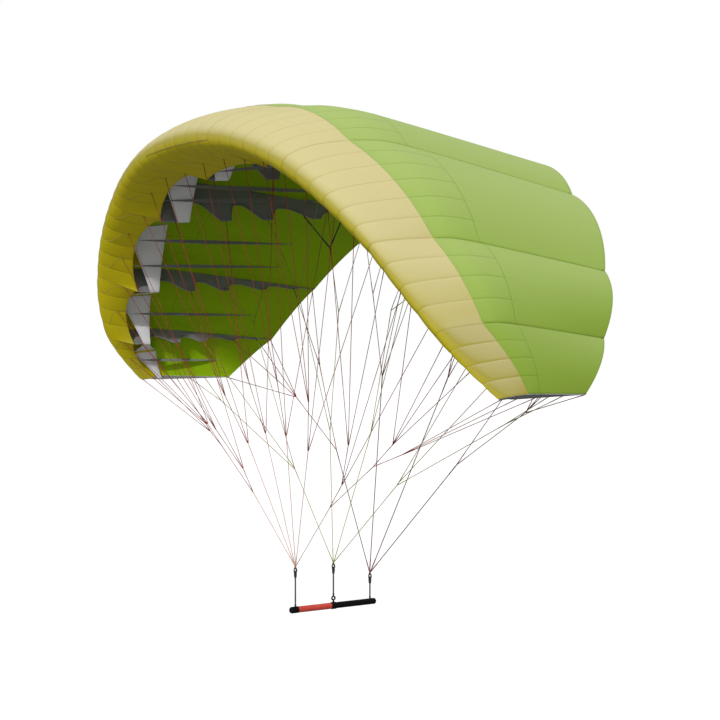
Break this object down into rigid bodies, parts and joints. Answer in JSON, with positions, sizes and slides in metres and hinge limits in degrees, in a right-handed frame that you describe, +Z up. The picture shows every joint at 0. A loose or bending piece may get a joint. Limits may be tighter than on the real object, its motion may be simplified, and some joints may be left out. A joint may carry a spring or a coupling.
{
  "type": "parawing with hand bar",
  "caption": "Single-skin arched parawing shown inflated, with a rounded nose, hanging ribs, diagonal straps and bridle lines that run down to a short hand bar with a rope leader at each group.",
  "frame": {"origin": "middle of the hand bar, where a rider's hands hold it", "axes": "X across the span, +Y from the nose to the trailing edge, +Z up"},
  "size_m": [3.0954, 1.6556, 2.2064],
  "materials": {
    "top_cloth": "coated ripstop nylon, leaf green",
    "nose_cloth": "coated ripstop nylon, straw yellow",
    "rib_cloth": "woven polyester, dark grey",
    "strap_cloth": "woven polyester, pale grey",
    "bar_black": "black moulded rubber",
    "bar_red": "red foam rubber grip",
    "bar_eye": "black coated metal",
    "leader_rope": "braided rope, dark grey",
    "link_metal": "dull steel",
    "line_salmon": "thin braided line, salmon",
    "line_lime": "thin braided line, yellow-green",
    "line_mauve": "thin braided line, dull red"
  },
  "bodies": {
    "root": {"nose_panel_l4": "nose_cloth", "top_panel_l4": "top_cloth", "nose_panel_l3": "nose_cloth", "top_panel_l3": "top_cloth", "nose_panel_l2": "nose_cloth", "top_panel_l2": "top_cloth", "nose_panel_l1": "nose_cloth", "top_panel_l1": "top_cloth", "nose_panel_centre": "nose_cloth", "top_panel_centre": "top_cloth", "nose_panel_r1": "nose_cloth", "top_panel_r1": "top_cloth", "nose_panel_r2": "nose_cloth", "top_panel_r2": "top_cloth", "nose_panel_r3": "nose_cloth", "top_panel_r3": "top_cloth", "nose_panel_r4": "nose_cloth", "top_panel_r4": "top_cloth", "rib_l_tip": "rib_cloth", "strap_l_tip": "strap_cloth", "rib_l3": "rib_cloth", "strap_l3": "strap_cloth", "rib_l2": "rib_cloth", "strap_l2": "strap_cloth", "rib_l1": "rib_cloth", "strap_l1": "strap_cloth", "rib_l0": "rib_cloth", "strap_l0": "strap_cloth", "rib_r0": "rib_cloth", "strap_r0": "strap_cloth", "rib_r1": "rib_cloth", "strap_r1": "strap_cloth", "rib_r2": "rib_cloth", "strap_r2": "strap_cloth", "rib_r3": "rib_cloth", "strap_r3": "strap_cloth", "rib_r_tip": "rib_cloth", "strap_r_tip": "strap_cloth", "bar_cap_front": "bar_black", "bar_grip_front": "bar_red", "bar_collar": "bar_black", "bar_grip_rear": "bar_black", "bar_eye": "bar_eye", "leader_front": "leader_rope", "link_front": "link_metal", "leader_centre": "leader_rope", "link_centre": "link_metal", "leader_rear": "leader_rope", "link_rear": "link_metal", "lines_front_left": "line_salmon", "lines_front_right": "line_salmon", "lines_centre_left": "line_lime", "lines_centre_right": "line_lime", "lines_rear_left": "line_mauve", "lines_rear_right": "line_mauve"}
  },
  "joints": []
}
